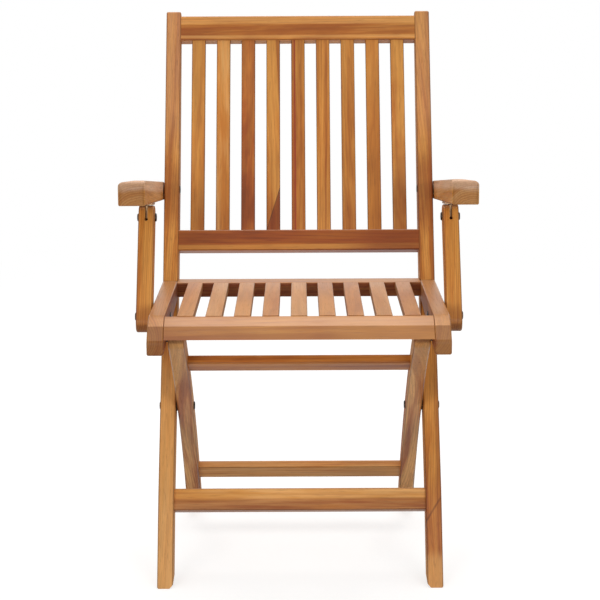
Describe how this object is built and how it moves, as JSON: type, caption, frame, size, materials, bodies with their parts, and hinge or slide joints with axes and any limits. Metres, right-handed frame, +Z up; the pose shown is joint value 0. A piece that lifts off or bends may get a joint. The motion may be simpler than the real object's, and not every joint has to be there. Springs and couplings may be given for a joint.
{
  "type": "folding armchair",
  "caption": "Folding teak armchair with slatted seat and back, crossing legs and armrests on short struts that fold flat with the seat.",
  "frame": {"origin": "on the floor, under the middle of the open chair", "axes": "+X to the right seen from the front, +Y to the back, +Z up; the chair faces -Y"},
  "size_m": [0.556, 0.6422, 0.89],
  "materials": {
    "teak_posts": "oiled, satin",
    "teak_back": "oiled, satin",
    "teak_seat": "oiled, satin",
    "teak_arms": "oiled, satin",
    "teak_rear_legs": "oiled, satin",
    "steel": "dark, semi-matt"
  },
  "bodies": {
    "back_frame": {"arm_pivot_bolts": "steel", "arm_pivot_spacers": "steel", "back_bottom_rail": "teak_back", "back_slat_1": "teak_back", "back_slat_2": "teak_back", "back_slat_3": "teak_back", "back_slat_4": "teak_back", "back_slat_5": "teak_back", "back_slat_6": "teak_back", "back_slat_7": "teak_back", "back_slat_8": "teak_back", "back_slat_9": "teak_back", "back_top_rail": "teak_back", "front_stretcher": "teak_posts", "hinge_pins": "steel", "left_post": "teak_posts", "leg_pivot_bolts": "steel", "leg_pivot_washers": "steel", "post_hinge_leaves": "steel", "post_hinge_screws": "steel", "right_post": "teak_posts"},
    "seat": {"left_seat_rail": "teak_seat", "right_seat_rail": "teak_seat", "seat_back_rail": "teak_seat", "seat_front_rail": "teak_seat", "seat_hinge_leaves": "steel", "seat_hinge_screws": "steel", "seat_slat_1": "teak_seat", "seat_slat_2": "teak_seat", "seat_slat_3": "teak_seat", "seat_slat_4": "teak_seat", "seat_slat_5": "teak_seat", "seat_slat_6": "teak_seat", "seat_slat_7": "teak_seat", "seat_slat_8": "teak_seat", "seat_slat_9": "teak_seat", "strut_foot_bolts": "steel", "strut_foot_nuts": "steel", "strut_foot_washers": "steel"},
    "rear_legs": {"left_rear_leg": "teak_rear_legs", "leg_pivot_nuts": "steel", "rear_lower_stretcher": "teak_rear_legs", "rear_upper_stretcher": "teak_rear_legs", "right_rear_leg": "teak_rear_legs", "seat_rest_pins": "steel"},
    "left_arm": {"left_arm_bracket": "steel", "left_armrest": "teak_arms", "left_bracket_screws": "steel"},
    "right_arm": {"right_arm_bracket": "steel", "right_armrest": "teak_arms", "right_bracket_screws": "steel"},
    "left_strut": {"left_strut": "teak_arms", "left_strut_head_bolt": "steel", "left_strut_head_nut": "steel"},
    "right_strut": {"right_strut": "teak_arms", "right_strut_head_bolt": "steel", "right_strut_head_nut": "steel"}
  },
  "joints": [
    {"name": "seat_fold", "type": "hinge", "parent": "back_frame", "child": "seat", "pos_m": [0, 0.06463, 0.44973], "axis": [-1, 0, 0], "range_deg": [0, 112]},
    {"name": "rear_legs_fold", "type": "hinge", "parent": "back_frame", "child": "rear_legs", "pos_m": [0, -0.03755, 0.25853], "axis": [-1, 0, 0], "range_deg": [0, 66.5]},
    {"name": "left_arm_fold", "type": "hinge", "parent": "back_frame", "child": "left_arm", "pos_m": [0, 0.15969, 0.59379], "axis": [-1, 0, 0], "range_deg": [0, 112]},
    {"name": "right_arm_fold", "type": "hinge", "parent": "back_frame", "child": "right_arm", "pos_m": [0, 0.15969, 0.59379], "axis": [-1, 0, 0], "range_deg": [0, 112]},
    {"name": "left_strut_fold", "type": "hinge", "parent": "left_arm", "child": "left_strut", "pos_m": [0, -0.05784, 0.58625], "axis": [1, 0, 0], "range_deg": [0, 112]},
    {"name": "right_strut_fold", "type": "hinge", "parent": "right_arm", "child": "right_strut", "pos_m": [0, -0.05784, 0.58625], "axis": [1, 0, 0], "range_deg": [0, 112]}
  ],
  "couplings": [
    {"joint": "rear_legs_fold", "follows": "seat_fold", "ratio": 0.59375},
    {"joint": "left_arm_fold", "follows": "seat_fold", "ratio": 1},
    {"joint": "right_arm_fold", "follows": "seat_fold", "ratio": 1},
    {"joint": "left_strut_fold", "follows": "seat_fold", "ratio": 1},
    {"joint": "right_strut_fold", "follows": "seat_fold", "ratio": 1}
  ]
}
